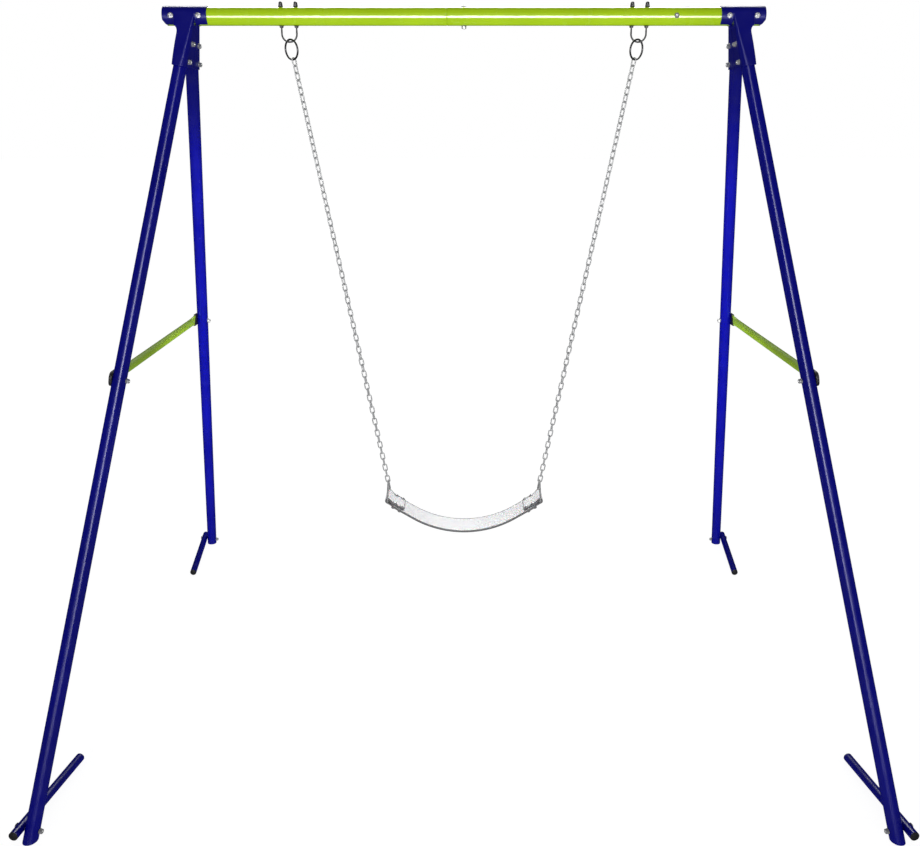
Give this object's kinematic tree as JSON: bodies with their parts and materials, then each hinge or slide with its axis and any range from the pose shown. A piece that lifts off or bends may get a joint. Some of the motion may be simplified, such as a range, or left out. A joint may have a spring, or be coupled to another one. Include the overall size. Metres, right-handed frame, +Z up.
{
  "type": "swing set",
  "caption": "A-frame swing set of steel tube with splayed legs, side braces, ground feet and a curved belt seat hung on chains from U-bolts and rings.",
  "frame": {"origin": "on the ground, midway between the four legs", "axes": "X along the crossbar, Y along the swing's travel with the front at -Y, +Z up"},
  "size_m": [2.3884, 1.9306, 2.1577],
  "materials": {
    "leg_paint": "gloss enamel",
    "bracket_paint": "gloss enamel",
    "crossbar_paint": "gloss enamel",
    "brace_paint": "satin enamel",
    "black_plastic": "moulded satin",
    "fastener_zinc": "bright zinc plating",
    "dark_steel": "dark plating, lightly worn",
    "chain_zinc": "zinc plating",
    "hanger_zinc": "zinc plating",
    "belt_plastic": "smooth moulded belt"
  },
  "bodies": {
    "frame": {"crossbar_left": "crossbar_paint", "crossbar_right": "crossbar_paint", "crossbar_joint_bolt": "fastener_zinc", "crossbar_joint_nut": "fastener_zinc", "crossbar_end_plugs": "black_plastic", "crossbar_screw": "fastener_zinc", "bracket_front_left": "bracket_paint", "bracket_rear_left": "bracket_paint", "bracket_front_right": "bracket_paint", "bracket_rear_right": "bracket_paint", "bracket_bar_bolts": "fastener_zinc", "bracket_bar_nuts": "fastener_zinc", "leg_front_left": "leg_paint", "leg_rear_left": "leg_paint", "leg_front_right": "leg_paint", "leg_rear_right": "leg_paint", "bracket_leg_bolts": "fastener_zinc", "bracket_leg_nuts": "fastener_zinc", "leg_bottom_plugs": "black_plastic", "brace_left": "brace_paint", "brace_right": "brace_paint", "brace_end_caps": "black_plastic", "brace_bolts": "fastener_zinc", "brace_nuts": "fastener_zinc", "foot_front_left": "leg_paint", "foot_rear_left": "leg_paint", "foot_front_right": "leg_paint", "foot_rear_right": "leg_paint", "foot_end_plugs": "black_plastic", "foot_bolts": "fastener_zinc", "foot_nuts": "fastener_zinc", "u_bolt_left": "dark_steel", "u_bolt_right": "dark_steel", "u_bolt_acorn_nuts": "dark_steel", "u_bolt_lower_nuts": "dark_steel", "u_bolt_washers": "dark_steel"},
    "ring_left": {"ring_left": "dark_steel"},
    "ring_right": {"ring_right": "dark_steel"},
    "chain_left": {"chain_left": "chain_zinc"},
    "chain_right": {"chain_right": "chain_zinc"},
    "seat": {"seat_hanger_left": "hanger_zinc", "seat_hanger_right": "hanger_zinc", "seat_belt": "belt_plastic", "seat_bolts": "fastener_zinc", "seat_washers": "fastener_zinc", "seat_nuts": "fastener_zinc"}
  },
  "joints": [
    {"name": "swing_left", "type": "hinge", "parent": "frame", "child": "ring_left", "pos_m": [-0.515, 0, 2.047], "axis": [1, 0, 0], "range_deg": [-50, 50]},
    {"name": "swing_right", "type": "hinge", "parent": "frame", "child": "ring_right", "pos_m": [0.515, 0, 2.047], "axis": [1, 0, 0], "range_deg": [-50, 50]},
    {"name": "chain_hook_left", "type": "hinge", "parent": "ring_left", "child": "chain_left", "pos_m": [-0.50606, 0, 1.99882], "axis": [1, 0, 0], "range_deg": [-20, 20]},
    {"name": "chain_hook_right", "type": "hinge", "parent": "ring_right", "child": "chain_right", "pos_m": [0.50606, 0, 1.99882], "axis": [1, 0, 0], "range_deg": [-20, 20]},
    {"name": "seat_pivot", "type": "hinge", "parent": "chain_left", "child": "seat", "pos_m": [-0.257, 0, 0.656], "axis": [1, 0, 0], "range_deg": [-30, 30]}
  ],
  "couplings": [
    {"joint": "swing_right", "follows": "swing_left", "ratio": 1},
    {"joint": "chain_hook_right", "follows": "chain_hook_left", "ratio": 1}
  ]
}
